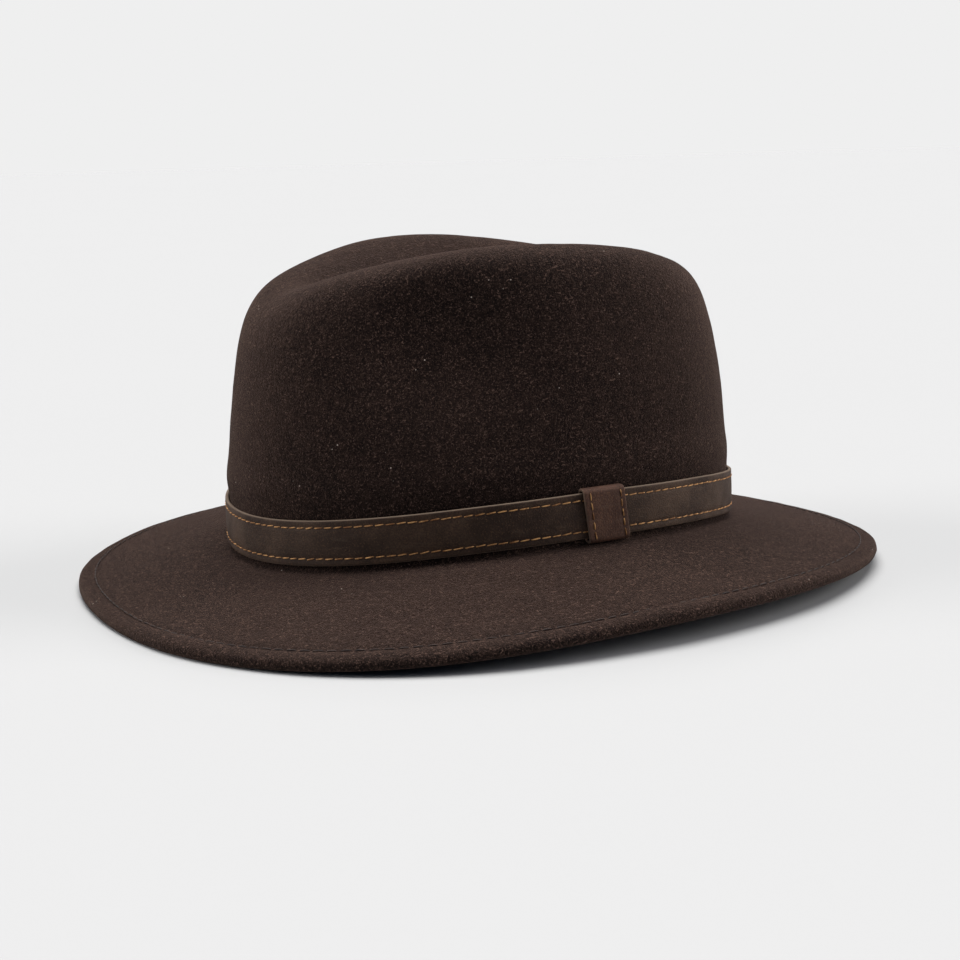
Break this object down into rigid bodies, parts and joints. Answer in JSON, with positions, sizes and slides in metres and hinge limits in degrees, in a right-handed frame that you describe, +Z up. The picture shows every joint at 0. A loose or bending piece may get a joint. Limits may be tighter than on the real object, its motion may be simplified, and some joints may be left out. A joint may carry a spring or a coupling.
{
  "type": "fedora hat",
  "caption": "Wool-felt fedora with a creased and pinched crown, turned brim edge, stitched leather band that lifts off, sliding keeper, sweatband and lining.",
  "frame": {"origin": "on the surface the hat stands on, under the middle of the brim", "axes": "+Z up, front of the hat towards -Y, wearer's left towards +X"},
  "size_m": [0.3026, 0.336, 0.1375],
  "materials": {
    "wool_felt": "matt brushed wool felt",
    "felt_thread": "matt polyester thread",
    "band_leather": "waxed nubuck",
    "keeper_leather": "waxed nubuck",
    "tan_thread": "waxed polyester thread",
    "sweatband_leather": "smooth dressed leather",
    "reed_plastic": "smooth",
    "grosgrain": "ribbed ribbon",
    "satin": "satin weave",
    "label_cloth": "woven"
  },
  "bodies": {
    "hat": {"felt_body": "wool_felt", "brim_edge_stitching": "felt_thread", "sweatband": "sweatband_leather", "sweatband_reed": "reed_plastic", "sweatband_tape": "grosgrain", "sweatband_stitching": "felt_thread", "sweatband_back_seam": "tan_thread", "sweatband_bow": "grosgrain", "size_label": "label_cloth", "lining_side": "satin", "lining_tip": "satin", "lining_piping": "grosgrain"},
    "hatband": {"hatband_strap": "band_leather", "hatband_top_stitching": "tan_thread", "hatband_bottom_stitching": "tan_thread"},
    "keeper": {"keeper_loop": "keeper_leather", "keeper_stitching": "tan_thread"}
  },
  "joints": [
    {"name": "hatband_lift", "type": "slide", "parent": "hat", "child": "hatband", "axis": [0, 0, 1], "range_m": [0, 0.13]},
    {"name": "keeper_slide", "type": "hinge", "parent": "hatband", "child": "keeper", "pos_m": [-0.06542, 0.00031, 0.03686], "axis": [0, -0.0011, 1], "range_deg": [-4, 4]}
  ]
}
